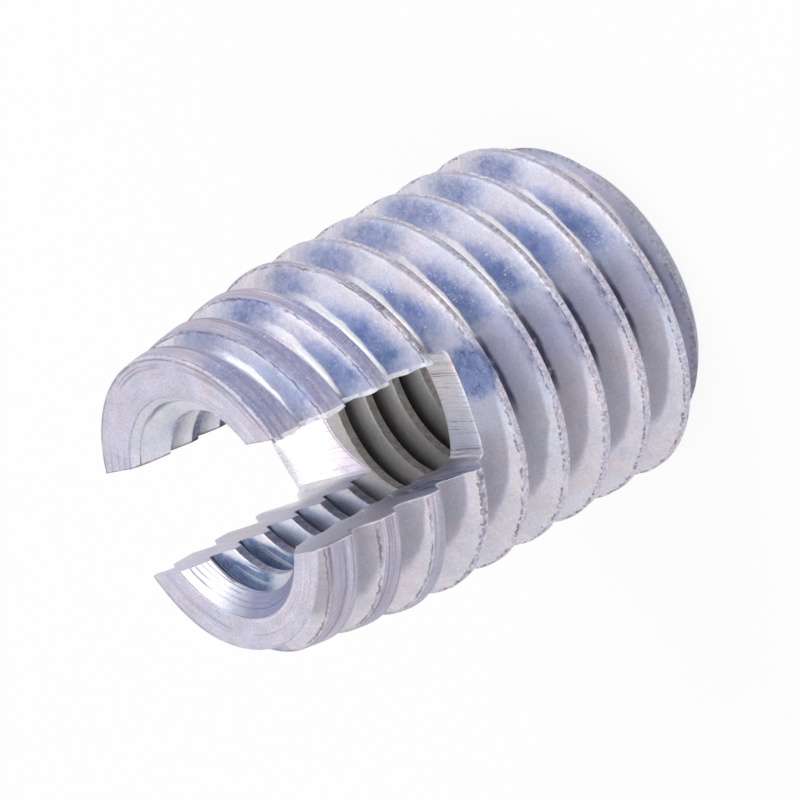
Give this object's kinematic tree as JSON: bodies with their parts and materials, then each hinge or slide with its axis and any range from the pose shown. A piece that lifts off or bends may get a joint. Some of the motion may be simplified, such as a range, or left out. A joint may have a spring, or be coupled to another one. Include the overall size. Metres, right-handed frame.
{
  "type": "threaded insert",
  "caption": "Slotted self-tapping threaded insert: a turned steel bush with a coarse outside thread, a tapered slotted nose and a finer thread in its bore.",
  "frame": {"origin": "centre of the flat rear face, the end without the slot, which the part stands on", "axes": "+Z along the insert's axis, from the rear face to the slotted nose; X runs along the slot"},
  "size_m": [0.01, 0.01, 0.014],
  "materials": {
    "zinc_plated_steel": "zinc plated, pale blue passivated, with lathe marks"
  },
  "bodies": {
    "root": {"insert_body": "zinc_plated_steel"}
  },
  "joints": []
}
